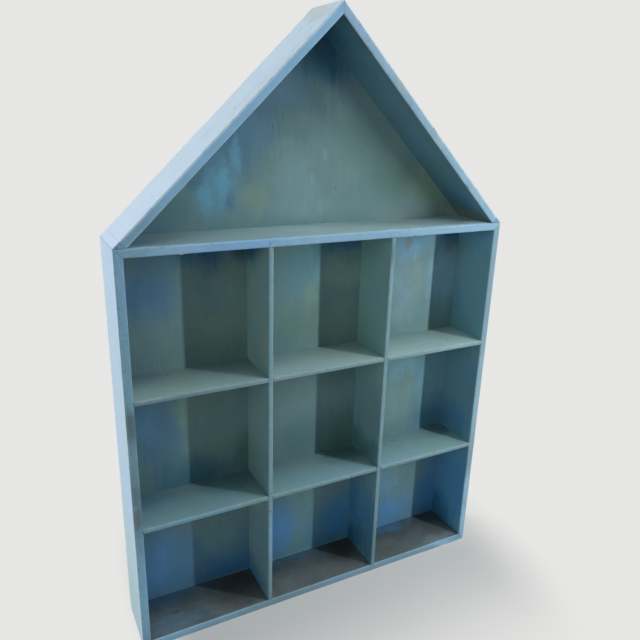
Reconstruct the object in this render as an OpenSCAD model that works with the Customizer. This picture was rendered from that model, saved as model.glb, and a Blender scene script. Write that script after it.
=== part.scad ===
// House-shaped wall shelf: a square box of nine compartments under an open gable.
// Millimetres. X runs to the right, Y runs from the open front back to the wall, Z is up.
// The origin is on the floor, at the middle of the width and of the depth.
// The carcass is mitred like a picture frame, and the partitions lap through each other.

/* [Compartments] */
// Clear width of one compartment
bay_w = 125; // [90:1:180]
// Clear height of one compartment
bay_h = 125.5; // [90:0.5:180]

/* [Carcass] */
// Overall depth, from the open front to the wall
depth = 59; // [45:1:120]
// Thickness of the box and roof boards
board_t = 8; // [7:0.5:15]
// Height of the ridge above the eaves
roof_rise = 195.5; // [150:0.5:260]
// Radius sanded on the two lower outside corners of the box
corner_r = 4; // [1:0.5:4]
// Radius sanded on the long front edges of the box and roof boards
board_arris_r = 1; // [0.5:0.25:2]

/* [Partitions] */
// Thickness of the dividers and shelves
partition_t = 4.5; // [3.5:0.5:9]
// Radius sanded on the front edges of the dividers and shelves
partition_arris_r = 0.75; // [0.25:0.25:1.5]
// Clearance between a partition and each wall of the notch that it slides into
lap_gap = 0.15; // [0.1:0.05:0.3]

/* [Back panel] */
// Thickness of the back panel, which is also the depth of its rebate
panel_t = 3; // [2:0.5:5]
// Width of the rim that stays outside the rebate
rim_w = 4; // [3:0.5:5]
// Clearance between the panel's edge and the wall of the rebate
panel_gap = 0.15; // [0.1:0.05:0.3]

/* [Hanging keyholes] */
// Head of the wall screw that each keyhole takes
screw_head_d = 7; // [6:0.5:9]
// Shank of the wall screw
screw_shank_d = 3.5; // [3:0.5:4.5]
// Clearance round the screw's head in the entry hole
entry_gap = 0.5; // [0.25:0.25:1]
// Clearance each side of the screw's shank in the slot
slot_gap = 0.25; // [0.1:0.05:0.5]
// Travel of the screw from the entry hole up to the slot's round end
key_rise = 5.8; // [5:0.1:12]

/* [Fixings] */
// Wide side of a brad's flat wire
brad_w = 1.25; // [0.8:0.05:1.6]
// Narrow side of a brad's flat wire
brad_t = 1; // [0.6:0.05:1.2]
// Length of the brads in the box corners and the partitions
brad_l = 15; // [12:1:20]
// Width of a brad's head
brad_head_w = 2; // [1.8:0.1:2.4]
// Thickness of a brad's head
brad_head_t = 0.8; // [0.5:0.1:1.2]
// Depth of filler between a brad and the painted face
brad_cover = 1.2; // [0.8:0.1:1.6]
// Height of the ridge brads above the inside corner of the ridge
ridge_brad_lift = 1.5; // [1:0.1:2.5]
// Width across the crown of a staple in the back panel
staple_crown = 10; // [6:1:14]
// Thickness of the staple wire
staple_wire = 0.8; // [0.6:0.1:1.2]
// Length of a staple's legs, crown and all
staple_leg = 10; // [8:1:12]
// Depth that a staple's crown is driven below the panel's face
staple_sink = 0.2; // [0.1:0.1:0.4]
// Clearance between a brad or staple and the wood round it
wire_gap = 0.1; // [0.05:0.05:0.2]

/* [Hidden] */

// Paint colours, as the photograph shows them
side_paint = "#a9c4d6";
roof_paint = "#8db2cf";
partition_paint = "#7f9a9c";
panel_paint = "#557a86";
fillet_paint = "#93a8a6";
bare_wire = "#a7a9a8";

// The box: three compartments across and three up
box_w = 3 * bay_w + 2 * partition_t + 2 * board_t;
box_h = 3 * bay_h + 2 * partition_t + 2 * board_t;
half_w = box_w / 2;
front_y = -depth / 2;
back_y = depth / 2;

// The roof: its outer faces start at the top outside corners of the box
pitch = atan2(roof_rise, half_w);
ridge_z = box_h + roof_rise;
// A roof board's lower end is square to its faces and stands on its inside corner
foot = board_t / tan(pitch);
foot_in_x = board_t / sin(pitch);
foot_out_x = foot * cos(pitch);
slope_l = half_w / cos(pitch);

// The partitions run from the open front to the back panel
partition_depth = depth - panel_t;
bay_step_x = bay_w + partition_t;
bay_step_z = bay_h + partition_t;
divider_x = bay_step_x / 2;
upper_z = box_h / 2 + bay_step_z / 2;
lower_z = box_h / 2 - bay_step_z / 2;
// Depth at which the notches of a divider and a shelf meet
lap_y = front_y + partition_depth / 2;
panel_y = back_y - panel_t;

// The keyholes sit under the attic board, in the middle of the outer compartments
slot_end_z = box_h - board_t - screw_head_d / 2 - slot_gap;
entry_z = slot_end_z - key_rise;
entry_r = screw_head_d / 2 + entry_gap;
slot_r = screw_shank_d / 2 + slot_gap;

// Brads come in pairs, one towards the front and one towards the wall
brad_ys = [-depth / 4, depth / 4];
eave_brad_ys = [-depth / 8, depth / 8];
// An eave brad stands three quarters of the way along the foot, towards its inside corner
eave_brad_x = foot_out_x + 0.75 * (foot_in_x - foot_out_x);
eave_brad_top = box_h + eave_brad_x * tan(pitch) - brad_cover / cos(pitch);
eave_brad_l = eave_brad_top - (box_h - board_t + brad_cover);
ridge_brad_z = ridge_z - board_t / cos(pitch) + ridge_brad_lift;
ridge_brad_half = (ridge_z - ridge_brad_z) / tan(pitch) - brad_cover / sin(pitch);

// Staples go into the middle of the ledge that the rebate leaves on a board
ledge_mid = (rim_w + board_t) / 2;
ledge_slope_l = slope_l - foot;
// Each is [x, z, turn of the crown]
middle_staples = [
    for (i = [-1, 0, 1]) [i * bay_step_x, ledge_mid, 0],
    for (i = [-1, 0, 1]) [i * bay_step_x, box_h - board_t / 2, 0],
    [0, upper_z, 0],
    [0, lower_z, 0]
];
left_staples = [
    for (i = [-1, 0, 1]) [ledge_mid - half_w, box_h / 2 + i * bay_step_z, 90],
    for (i = [1, 3, 5]) roof_staple(foot + i * ledge_slope_l / 6),
    [-divider_x, box_h / 2, 90]
];

// How far a cut runs past the wood, so that it never ends on a face
past = 1;
// Longer than any board, for what a saw cut takes away
reach = box_w + ridge_z;
round_fn = 48;

// A staple in the ledge of the left roof board, this far up the slope
function roof_staple(up) = [
    up * cos(pitch) - half_w + ledge_mid * sin(pitch),
    box_h + up * sin(pitch) - ledge_mid * cos(pitch),
    -pitch
];

// The outline of the house in the front view, drawn this far inside its outer faces
function house(inset) =
    let (
        side_x = half_w - inset,
        eave_z = box_h + inset * tan(pitch) - inset / cos(pitch),
        top_z = ridge_z - inset / cos(pitch)
    )
    [[-side_x, inset], [side_x, inset], [side_x, eave_z], [0, top_z], [-side_x, eave_z]];

// What sanding takes off a square corner at the origin
module sanded_off(r) {
    difference() {
        translate([-past, -past]) square(r + past);
        translate([r, r]) circle(r, $fn = round_fn);
    }
}

// The end view of a board: its depth along X and its thickness along Y, with both front edges eased
module board_section(thick, deep, arris) {
    difference() {
        square([deep, thick]);
        sanded_off(arris);
        translate([0, thick]) mirror([0, 1]) sanded_off(arris);
    }
}

// A length of board lying flat, its length along X and its front edge at the front of the shelf
module stock(length, thick, deep, arris) {
    translate([0, front_y, 0])
        rotate([90, 0, 90])
            linear_extrude(length) board_section(thick, deep, arris);
}

// The same length of board standing up, its right-hand face on the plane X = 0
module upright_stock(length, thick, deep, arris) {
    rotate([0, -90, 0]) stock(length, thick, deep, arris);
}

// Roof board stock on the left slope, between two distances up from the eave
module roof_stock(from, to) {
    translate([-half_w, 0, box_h])
        rotate([0, -pitch, 0])
            translate([from, 0, -board_t]) stock(to - from, board_t, depth, board_arris_r);
}

// What a saw cut through x, z takes away; the angle turns the waste side from up towards the right
module sawn_off(x, z, angle) {
    translate([x, 0, z])
        rotate([0, angle, 0])
            translate([-reach, -reach, 0]) cube(2 * reach);
}

// A flat shape of the front view, made solid from the depth y0 backwards
module slab(y0, thick) {
    translate([0, y0 + thick, 0]) rotate([90, 0, 0]) linear_extrude(thick) children();
}

// Both halves of something that stands to the left and to the right
module both_sides() {
    children();
    mirror([1, 0, 0]) children();
}

// What is sanded off the lower left corner of the box, through its whole depth
module corner_waste() {
    slab(front_y - past, depth + 2 * past) translate([-half_w, 0]) sanded_off(corner_r);
}

// The room that the back panel takes out of the boards round it
module panel_rebate() {
    slab(panel_y, panel_t + past) polygon(house(rim_w));
}

// A brad with its head at the origin, pointing along X; grow swells it into the hole that it sits in
module brad(length, grow = 0) {
    translate([-grow, -brad_head_w / 2 - grow, -brad_t / 2 - grow])
        cube([brad_head_t + 2 * grow, brad_head_w + 2 * grow, brad_t + 2 * grow]);
    translate([-grow, -brad_w / 2 - grow, -brad_t / 2 - grow])
        cube([length + 2 * grow, brad_w + 2 * grow, brad_t + 2 * grow]);
}

// Two brads in each mitred corner of the box, driven in level through the sides
module box_corner_brad_set(grow = 0) {
    both_sides()
        for (y = brad_ys, z = [board_t / 2, box_h - board_t / 2])
            translate([brad_cover - half_w, y, z]) brad(brad_l, grow);
}

// Two brads across the mitre at the ridge
module ridge_brad_set(grow = 0) {
    for (y = brad_ys)
        translate([-ridge_brad_half, y, ridge_brad_z]) brad(2 * ridge_brad_half, grow);
}

// Two plumb brads through the foot of each roof board into the attic board
module eave_brad_set(grow = 0) {
    both_sides()
        for (y = eave_brad_ys)
            translate([eave_brad_x - half_w, y, eave_brad_top])
                rotate([0, 90, 0]) brad(eave_brad_l, grow);
}

// Two brads up and two brads down into each divider
module divider_brad_set(grow = 0) {
    both_sides()
        for (y = brad_ys) {
            translate([divider_x, y, brad_cover]) rotate([0, -90, 0]) brad(brad_l, grow);
            translate([divider_x, y, box_h - brad_cover]) rotate([0, 90, 0]) brad(brad_l, grow);
        }
}

// Two brads into each end of each shelf
module shelf_brad_set(grow = 0) {
    both_sides()
        for (y = brad_ys, z = [lower_z, upper_z])
            translate([brad_cover - half_w, y, z]) brad(brad_l, grow);
}

// A staple driven from the wall side, its crown along X under the panel's rear face.
// The slot for it is swelled by grow and opens through that face.
module staple(grow = 0) {
    crown_l = staple_crown + 2 * grow;
    wire = staple_wire + 2 * grow;
    leg_y = back_y - staple_sink - staple_leg - grow;
    crown_y = back_y - staple_sink - staple_wire - grow;
    crown_d = grow > 0 ? back_y + past - crown_y : staple_wire;
    translate([-crown_l / 2, crown_y, -wire / 2]) cube([crown_l, crown_d, wire]);
    for (side = [-1, 1])
        translate([side * (crown_l - wire) / 2 - wire / 2, leg_y, -wire / 2])
            cube([wire, crown_y - leg_y + wire / 2, wire]);
}

// Staples at places given as [x, z, turn of the crown]
module staples_at(places, grow = 0) {
    for (p = places)
        translate([p[0], 0, p[1]]) rotate([0, p[2], 0]) staple(grow);
}

// Every staple that holds the back panel
module staple_set(grow = 0) {
    staples_at(middle_staples, grow);
    both_sides() staples_at(left_staples, grow);
}

// A keyhole through the back panel: the screw's head goes in below and its shank slides up
module keyhole(x) {
    translate([x, panel_y - past, entry_z])
        rotate([-90, 0, 0]) cylinder(r = entry_r, h = panel_t + 2 * past, $fn = round_fn);
    translate([x, panel_y - past, slot_end_z])
        rotate([-90, 0, 0]) cylinder(r = slot_r, h = panel_t + 2 * past, $fn = round_fn);
    translate([x - slot_r, panel_y - past, entry_z])
        cube([2 * slot_r, panel_t + 2 * past, key_rise]);
}

// The four mitred boards of the box
module side_board() {
    difference() {
        translate([board_t - half_w, 0, 0]) upright_stock(box_h, board_t, depth, board_arris_r);
        sawn_off(-half_w, box_h, 45);
        sawn_off(-half_w, 0, 135);
        corner_waste();
        panel_rebate();
        box_corner_brad_set(wire_gap);
        shelf_brad_set(wire_gap);
        staples_at(left_staples, wire_gap);
    }
}

module left_side() {
    color(side_paint) side_board();
}

module right_side() {
    color(side_paint) mirror([1, 0, 0]) side_board();
}

module base_board() {
    color(side_paint)
        difference() {
            translate([-half_w, 0, 0]) stock(box_w, board_t, depth, board_arris_r);
            sawn_off(-half_w, 0, -45);
            sawn_off(half_w, 0, 45);
            both_sides() corner_waste();
            panel_rebate();
            box_corner_brad_set(wire_gap);
            divider_brad_set(wire_gap);
            staples_at(middle_staples, wire_gap);
        }
}

module attic_board() {
    color(side_paint)
        difference() {
            translate([-half_w, 0, box_h - board_t]) stock(box_w, board_t, depth, board_arris_r);
            sawn_off(-half_w, box_h, 225);
            sawn_off(half_w, box_h, 135);
            panel_rebate();
            box_corner_brad_set(wire_gap);
            eave_brad_set(wire_gap);
            divider_brad_set(wire_gap);
            staples_at(middle_staples, wire_gap);
        }
}

// The two roof boards, mitred together at the ridge
module roof_board() {
    difference() {
        roof_stock(foot, slope_l + board_t);
        sawn_off(0, ridge_z, 90);
        panel_rebate();
        eave_brad_set(wire_gap);
        staples_at(left_staples, wire_gap);
    }
}

module left_roof_board() {
    color(roof_paint)
        difference() {
            roof_board();
            ridge_brad_set(wire_gap);
        }
}

module right_roof_board() {
    color(roof_paint)
        difference() {
            mirror([1, 0, 0]) roof_board();
            ridge_brad_set(wire_gap);
        }
}

// The wedge that fills the corner between a roof board's square foot and the attic board
module eave_fillet() {
    difference() {
        roof_stock(-board_t, foot);
        sawn_off(-half_w, box_h, 180);
        panel_rebate();
        eave_brad_set(wire_gap);
    }
}

module left_eave_fillet() {
    color(fillet_paint) eave_fillet();
}

module right_eave_fillet() {
    color(fillet_paint) mirror([1, 0, 0]) eave_fillet();
}

// An upright divider, notched from the back over both shelves
module divider(x) {
    notch = partition_t + 2 * lap_gap;
    notch_y = lap_y - lap_gap / 2;
    difference() {
        translate([x + partition_t / 2, 0, board_t])
            upright_stock(box_h - 2 * board_t, partition_t, partition_depth, partition_arris_r);
        for (z = [lower_z, upper_z])
            translate([x - partition_t, notch_y, z - notch / 2])
                cube([2 * partition_t, partition_depth, notch]);
        divider_brad_set(wire_gap);
        staple_set(wire_gap);
    }
}

module left_divider() {
    color(partition_paint) divider(-divider_x);
}

module right_divider() {
    color(partition_paint) divider(divider_x);
}

// A level shelf, notched from the front round both dividers
module shelf(z) {
    notch = partition_t + 2 * lap_gap;
    notch_y = front_y - past;
    difference() {
        translate([board_t - half_w, 0, z - partition_t / 2])
            stock(box_w - 2 * board_t, partition_t, partition_depth, partition_arris_r);
        for (x = [-divider_x, divider_x])
            translate([x - notch / 2, notch_y, z - partition_t])
                cube([notch, lap_y + lap_gap / 2 - notch_y, 2 * partition_t]);
        shelf_brad_set(wire_gap);
        staple_set(wire_gap);
    }
}

module upper_shelf() {
    color(partition_paint) shelf(upper_z);
}

module lower_shelf() {
    color(partition_paint) shelf(lower_z);
}

// One sheet closes the box and the gable, let in flush with the rim
module back_panel() {
    color(panel_paint)
        difference() {
            slab(panel_y, panel_t) polygon(house(rim_w + panel_gap));
            both_sides() keyhole(bay_step_x);
            staple_set(wire_gap);
        }
}

module box_corner_brads() {
    color(bare_wire) box_corner_brad_set();
}

module ridge_brads() {
    color(bare_wire) ridge_brad_set();
}

module eave_brads() {
    color(bare_wire) eave_brad_set();
}

module divider_brads() {
    color(bare_wire) divider_brad_set();
}

module shelf_brads() {
    color(bare_wire) shelf_brad_set();
}

module panel_staples() {
    color(bare_wire) staple_set();
}

left_side();
right_side();
base_board();
attic_board();
left_roof_board();
right_roof_board();
left_eave_fillet();
right_eave_fillet();
left_divider();
right_divider();
upper_shelf();
lower_shelf();
back_panel();
box_corner_brads();
ridge_brads();
eave_brads();
divider_brads();
shelf_brads();
panel_staples();
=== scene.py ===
# %% [markdown]
# A house-shaped wall shelf, painted by hand
#
# The shelf is a box of nine compartments under an open gable. It is thin painted board, mitred at
# every outside corner, with a grid of thin partitions that lap through each other.
# This lesson loads the shelf's construction as a fixed frame and then dresses it: each board is
# modelled again with hand-sanded arrises, and everything is covered in a worn, brushed blue paint.

# %% Load the frame
import math

import bmesh
import bpy
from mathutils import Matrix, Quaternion, Vector, noise


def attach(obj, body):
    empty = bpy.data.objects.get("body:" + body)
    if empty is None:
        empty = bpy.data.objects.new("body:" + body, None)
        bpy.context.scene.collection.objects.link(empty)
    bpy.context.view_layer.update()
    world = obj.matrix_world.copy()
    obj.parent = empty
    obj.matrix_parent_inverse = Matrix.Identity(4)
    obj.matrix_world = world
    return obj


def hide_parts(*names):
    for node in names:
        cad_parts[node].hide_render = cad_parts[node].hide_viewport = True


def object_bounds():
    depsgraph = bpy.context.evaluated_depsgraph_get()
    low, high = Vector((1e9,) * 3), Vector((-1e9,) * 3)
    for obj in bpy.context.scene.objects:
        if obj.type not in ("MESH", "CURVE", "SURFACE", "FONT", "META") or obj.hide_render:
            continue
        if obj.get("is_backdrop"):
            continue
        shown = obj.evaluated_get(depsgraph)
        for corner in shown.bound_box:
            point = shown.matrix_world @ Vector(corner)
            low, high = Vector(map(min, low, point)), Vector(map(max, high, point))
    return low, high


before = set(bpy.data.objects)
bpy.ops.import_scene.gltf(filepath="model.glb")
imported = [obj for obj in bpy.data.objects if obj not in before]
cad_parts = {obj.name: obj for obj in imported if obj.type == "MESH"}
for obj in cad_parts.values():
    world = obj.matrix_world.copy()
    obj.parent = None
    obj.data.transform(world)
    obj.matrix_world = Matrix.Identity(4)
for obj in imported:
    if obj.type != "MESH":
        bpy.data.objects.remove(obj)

MM = 0.001
scene = bpy.context.scene
cad_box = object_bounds()
print("nodes in the frame:", len(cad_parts))

# %% [markdown]
# The camera stands to the left of the shelf, a little above its eaves, and looks down to the right.
# A camera can be aimed with a Track To constraint or with angles. Here the viewing direction is
# turned into a rotation, and the small tilt of the hand-held camera is added as a roll about it.

# %% Camera
CAMERA_AT = Vector((-0.27952, -0.53045, 0.50904))
CAMERA_FORWARD = Vector((0.44376, 0.83818, -0.31707))
CAMERA_ROLL = math.radians(1.675)
LENS_MM = 35.2
SENSOR_MM = 36.0

camera = bpy.data.objects.new("camera", bpy.data.cameras.new("camera"))
scene.collection.objects.link(camera)
camera.data.lens = LENS_MM
camera.data.sensor_width = SENSOR_MM
camera.location = CAMERA_AT
aim = CAMERA_FORWARD.to_track_quat("-Z", "Y") @ Quaternion((0, 0, 1), CAMERA_ROLL)
camera.rotation_euler = aim.to_euler()
scene.camera = camera
scene.view_settings.view_transform = "Standard"
print("camera height over the floor:", round(CAMERA_AT.z, 3), "m")

# %% [markdown]
# Every material in this lesson is a small tree of shader nodes. Written out in full, each node takes
# four or five lines, so a few helpers keep the trees readable. `put` adds one node and wires it, and
# the others name what painters do with noise: clouds, levels and blends.

# %% Shader helpers
def put(tree, kind, inputs=None, **settings):
    """Add a node, set its options, and wire or set its inputs by name or number."""
    made = tree.nodes.new(kind)
    for name, value in settings.items():
        setattr(made, name, value)
    for name, value in (inputs or {}).items():
        if isinstance(value, bpy.types.NodeSocket):
            tree.links.new(value, made.inputs[name])
        else:
            made.inputs[name].default_value = value
    return made.outputs


def maths(tree, operation, first, second=0.0, third=0.0, clamp=False):
    """One sum on two or three numbers."""
    inputs = {0: first, 1: second, 2: third}
    return put(tree, "ShaderNodeMath", inputs, operation=operation, use_clamp=clamp)[0]


def vectors(tree, operation, first, second=(0.0, 0.0, 0.0)):
    """One sum on two vectors."""
    return put(tree, "ShaderNodeVectorMath", {0: first, 1: second}, operation=operation)[0]


def tint(colour):
    """A colour as a shader socket wants it, with its alpha."""
    return colour if isinstance(colour, bpy.types.NodeSocket) else (*colour, 1.0)


def blend(tree, factor, below, above, mode="MIX"):
    """Lay one colour over another."""
    inputs = {0: factor, 6: tint(below), 7: tint(above)}
    return put(tree, "ShaderNodeMix", inputs, data_type="RGBA", blend_type=mode)[2]


def centred(tree, value):
    """Noise that swings about 0 instead of about a half."""
    return maths(tree, "SUBTRACT", value, 0.5)


def levels(tree, value, low, high):
    """Stretch a value so that low becomes 0 and high becomes 1, with soft ends."""
    inputs = {"Value": value, "From Min": low, "From Max": high}
    return put(tree, "ShaderNodeMapRange", inputs, interpolation_type="SMOOTHSTEP")[0]


def cloud(tree, place, scale, detail=3.0, rough=0.55, bend=0.0):
    """Soft noise; the scale is in features per metre."""
    inputs = {"Vector": place, "Scale": scale, "Detail": detail, "Roughness": rough,
              "Distortion": bend}
    return put(tree, "ShaderNodeTexNoise", inputs)[0]


def new_material(name):
    """An empty material, with the tree that its shader nodes go into."""
    material = bpy.data.materials.new(name)
    material.use_nodes = True
    return material, material.node_tree


def join_shader(tree, colour, gloss, relief, depth):
    """Wire colour, roughness and relief to the shader; the relief's depth is in metres."""
    shader = tree.nodes["Principled BSDF"]
    bump = put(tree, "ShaderNodeBump", {"Strength": 0.3, "Distance": depth, "Height": relief})[0]
    for name, value in (("Base Color", colour), ("Roughness", gloss), ("Normal", bump)):
        tree.links.new(value, shader.inputs[name])
    return shader


# %% [markdown]
# The shelf stands on a pale, seamless sweep. A plain floor is enough: under and just round the shelf
# it is a matt surface that takes the shelf's shadow, and further out it fades into the flat
# off-white that the world also shows to the camera, so no horizon is seen. It fades sooner at the
# sides, where the lamps brighten the ground. The world gives the shelf no light.

# %% Floor and background
BACKDROP = (0.80, 0.795, 0.785)
FLOOR_GREY = (0.60, 0.59, 0.58)
FLOOR_SIZE = 6.0
SHADOW_REACH = 0.21
SHADE_LOW = (-0.15, -0.03, 0.0)
SHADE_HIGH = (0.175, 0.03, 0.0)
LEFT_SOONER = (3.5, 1.0, 1.0)
RIGHT_SOONER = (1.9, 1.0, 1.0)

floor_mesh = bmesh.new()
bmesh.ops.create_grid(floor_mesh, x_segments=8, y_segments=8, size=FLOOR_SIZE)
floor_data = bpy.data.meshes.new("floor")
floor_mesh.to_mesh(floor_data)
floor_mesh.free()
floor = bpy.data.objects.new("floor", floor_data)
scene.collection.objects.link(floor)
floor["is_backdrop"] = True


def seen_directly(tree):
    """1 for what the camera sees, straight or in a reflection, and 0 for the light on the shelf."""
    path = put(tree, "ShaderNodeLightPath")
    mirrored = maths(tree, "MAXIMUM", path["Is Glossy Ray"], path["Is Transmission Ray"])
    return maths(tree, "MAXIMUM", path["Is Camera Ray"], mirrored)


floor_material, floor_tree = new_material("floor")
matt = floor_tree.nodes["Principled BSDF"]
matt.inputs["Base Color"].default_value = tint(FLOOR_GREY)
matt.inputs["Roughness"].default_value = 0.9
matt.inputs["Specular IOR Level"].default_value = 0.1
floor_place = put(floor_tree, "ShaderNodeTexCoord")["Object"]
right_of = vectors(floor_tree, "SUBTRACT", floor_place, SHADE_HIGH)
right_of = vectors(floor_tree, "MULTIPLY", right_of, RIGHT_SOONER)
left_of = vectors(floor_tree, "SUBTRACT", SHADE_LOW, floor_place)
left_of = vectors(floor_tree, "MULTIPLY", left_of, LEFT_SOONER)
outside = vectors(floor_tree, "MAXIMUM", vectors(floor_tree, "MAXIMUM", left_of, right_of))
distance = put(floor_tree, "ShaderNodeVectorMath", {0: outside}, operation="LENGTH")["Value"]
far_off = levels(floor_tree, distance, 0.0, SHADOW_REACH)
glow = put(floor_tree, "ShaderNodeEmission", {"Color": tint(BACKDROP), "Strength": 1.0})[0]
fade = maths(floor_tree, "MULTIPLY", far_off, seen_directly(floor_tree))
joined = put(floor_tree, "ShaderNodeMixShader", {0: fade, 1: matt.outputs[0], 2: glow})[0]
floor_tree.links.new(joined, floor_tree.nodes["Material Output"].inputs["Surface"])
floor.data.materials.append(floor_material)

world = bpy.data.worlds.new("room")
scene.world = world
world.use_nodes = True
world_tree = world.node_tree
room = world_tree.nodes["Background"]
room.inputs["Color"].default_value = (1.0, 1.0, 1.0, 1.0)
room.inputs["Strength"].default_value = 0.0
shown = put(world_tree, "ShaderNodeBackground", {"Color": tint(BACKDROP), "Strength": 1.0})[0]
room_or_shown = {0: seen_directly(world_tree), 1: room.outputs[0], 2: shown}
world_mix = put(world_tree, "ShaderNodeMixShader", room_or_shown)[0]
world_tree.links.new(world_mix, world_tree.nodes["World Output"].inputs["Surface"])
print("floor:", FLOOR_SIZE * 2, "m square")

# %% [markdown]
# Seven lamps stand in for the room. A tall, narrow strip of light at the right front throws the
# crisp upright shadows that cross every compartment. Because it is tall, the edges that lie level
# or slope cast only soft shadows. A large window behind on the left brightens the outer faces on
# that side, and soft boxes round the front fill the shadows. The strip has a place of its own, and
# each soft box has a bearing from the front of the shelf and a height above the horizon, as a
# photographer would describe it.

# %% Lights
STRIP_AT = (0.462, -0.4815, 0.58)
STRIP_AIM = (0.0, 0.0, 0.58)
STRIP_W, STRIP_H = 0.018, 0.58
LIGHT_TARGET = Vector((0.0, 0.0, 0.3))
SOFT_BOX_AWAY = 2.2
SOFT_BOX_SIZE = 0.9
COOL = (0.93, 1.0, 1.03)
WHITE = (1.0, 1.0, 1.0)


def soft_lamp(name, place, aim, width, height, watts, colour=WHITE):
    """A rectangular area lamp that faces its aim and isn't seen by the camera."""
    lamp = bpy.data.lights.new(name, "AREA")
    lamp.shape = "RECTANGLE"
    lamp.size = width
    lamp.size_y = height
    lamp.energy = watts
    lamp.color = colour
    holder = bpy.data.objects.new(name, lamp)
    scene.collection.objects.link(holder)
    holder.location = place
    holder.rotation_euler = (Vector(aim) - Vector(place)).to_track_quat("-Z", "Y").to_euler()
    holder.visible_camera = False


def soft_box(name, bearing, elevation, watts, colour=COOL):
    """A square lamp at a bearing to the right of the front and an elevation, both in degrees."""
    across, up = math.radians(bearing), math.radians(elevation)
    away = Vector((math.cos(up) * math.sin(across), -math.cos(up) * math.cos(across), math.sin(up)))
    place = LIGHT_TARGET + SOFT_BOX_AWAY * away
    soft_lamp(name, place, LIGHT_TARGET, SOFT_BOX_SIZE, SOFT_BOX_SIZE, watts, colour)


soft_lamp("strip_right_front", STRIP_AT, STRIP_AIM, STRIP_W, STRIP_H, 3.4)
soft_box("window_left_rear", -125, 15, 50.0, WHITE)
soft_box("high_right", 35, 75, 13.5)
soft_box("upper_right", 70, 55, 12.5)
soft_box("low_left", -70, 15, 5.0)
soft_box("upper_left", -35, 35, 3.0)
soft_box("left_front", -35, 15, 3.0)

# %% [markdown]
# Most boards of this shelf are a length of timber with one end section, and the rebate for the back
# panel is part of that section. The front edges are eased and the ends are sawn to mitres.
# The same steps work on a mesh: extrude, bevel, bisect. A bevel modifier could ease the edges, but
# doing it in the mesh leaves faces that can be marked, so that the paint knows where it is rubbed
# thin. Last, the mesh is cut into short strips that stay joined, which gives it points to sand.

# %% Board helpers
FRONT_Y = -29.5
WALL_Y = 29.5
PANEL_Y = 26.5
HALF_W = 200.0
BOX_H = 401.5
RIDGE_Z = 597.0
BOARD_T = 8.0
RIM_W = 4.0
LEFT_LONG = 4.0
HAIRLINE = 0.2
EASE_SEGMENTS = 3
INSIDE, FRONT, OUTSIDE, ARRIS = 0, 1, 2, 3

# Strips are at most this long, and the thickness is cut at these depths below the outer face.
STRIP = 8.0
LAYERS = (2.6, 5.4)

# The points of a board's end section: how far back each lies, and how far below the outer face.
SECTION = [(FRONT_Y, 0.0), (WALL_Y, 0.0), (WALL_Y, RIM_W), (PANEL_Y, RIM_W),
           (PANEL_Y, BOARD_T), (FRONT_Y, BOARD_T)]

# How near to a plane, in metres, a point counts as lying on it. A saw cut is stricter.
NEAR = 1e-6
SAW_NEAR = 1e-7


def everything(block):
    """All points, edges and faces of a block, as the operators want them."""
    return block.verts[:] + block.edges[:] + block.faces[:]


def solid(corners, push):
    """A closed block: one flat face through the corners in millimetres, pushed along a vector."""
    block = bmesh.new()
    end = block.faces.new([block.verts.new(Vector(corner) * MM) for corner in corners])
    grown = bmesh.ops.extrude_face_region(block, geom=[end])["geom"]
    moved = [item for item in grown if isinstance(item, bmesh.types.BMVert)]
    bmesh.ops.translate(block, verts=moved, vec=Vector(push) * MM)
    bmesh.ops.recalc_face_normals(block, faces=block.faces[:])
    return block


def saw(block, point, waste, hairline=HAIRLINE):
    """Cut with a plane, close the cut and break its sharp rim, which leaves a hairline joint.

    The waste direction points at what falls off.
    """
    cut = bmesh.ops.bisect_plane(block, geom=everything(block), dist=SAW_NEAR,
                                 plane_co=Vector(point) * MM, plane_no=Vector(waste),
                                 clear_outer=True)["geom_cut"]
    rim = [item for item in cut if isinstance(item, bmesh.types.BMEdge)]
    bmesh.ops.edgeloop_fill(block, edges=rim)
    bmesh.ops.bevel(block, geom=rim, offset=hairline * MM, segments=1, profile=0.5,
                    affect="EDGES", material=-1, clamp_overlap=True)


def ease(block, edges, radius, segments=EASE_SEGMENTS):
    """Round some edges and mark the new faces as worn arrises."""
    rounded = bmesh.ops.bevel(block, geom=edges, offset=radius * MM, segments=segments,
                              profile=0.5, affect="EDGES", material=-1, clamp_overlap=True)
    for face in rounded["faces"]:
        face.material_index = ARRIS


def front_edges(block, shortest=20.0):
    """The edges on the front of the shelf that are at least this long, in millimetres."""
    return [edge for edge in block.edges
            if edge.calc_length() > shortest * MM
            and all(abs(vert.co.y - FRONT_Y * MM) < NEAR for vert in edge.verts)]


def slices(block, direction, places):
    """Cut a block into strips at these distances along a direction, and leave it whole."""
    along = Vector(direction).normalized()
    for place in places:
        bmesh.ops.bisect_plane(block, geom=everything(block), dist=NEAR,
                               plane_co=along * place * MM, plane_no=along)


def steps(start, stop, size=STRIP):
    """Evenly spaced places between two ends, at most this far apart, without the ends."""
    count = max(2, math.ceil((stop - start) / size))
    return [start + (stop - start) * i / count for i in range(1, count)]


print("an eased edge turns", 90 / EASE_SEGMENTS, "degrees a facet")

# %% [markdown]
# Real boards aren't dead flat. Sanding and thick paint leave slow, shallow waves, which show as
# gentle changes in the light on a painted face. Each point is moved inwards by up to a seventh of a
# millimetre, by a noise that depends only on where the point is, so two boards that meet in a
# mitre move together. A vertex attribute remembers which points lie on an eased edge.

# %% Finishing helpers
UNEVEN = 0.14
INNER_WEAR = 0.55
WAVES_PER_METRE = 24.0
SHARP_ANGLE = math.radians(40)
CM3_IN_M3 = 1e6

# How far a normal leans towards a side to count as facing it: 1 is straight at it.
LEANS_OUT, FACES_OUT, FACES_END = 0.1, 0.6, 0.5


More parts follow.
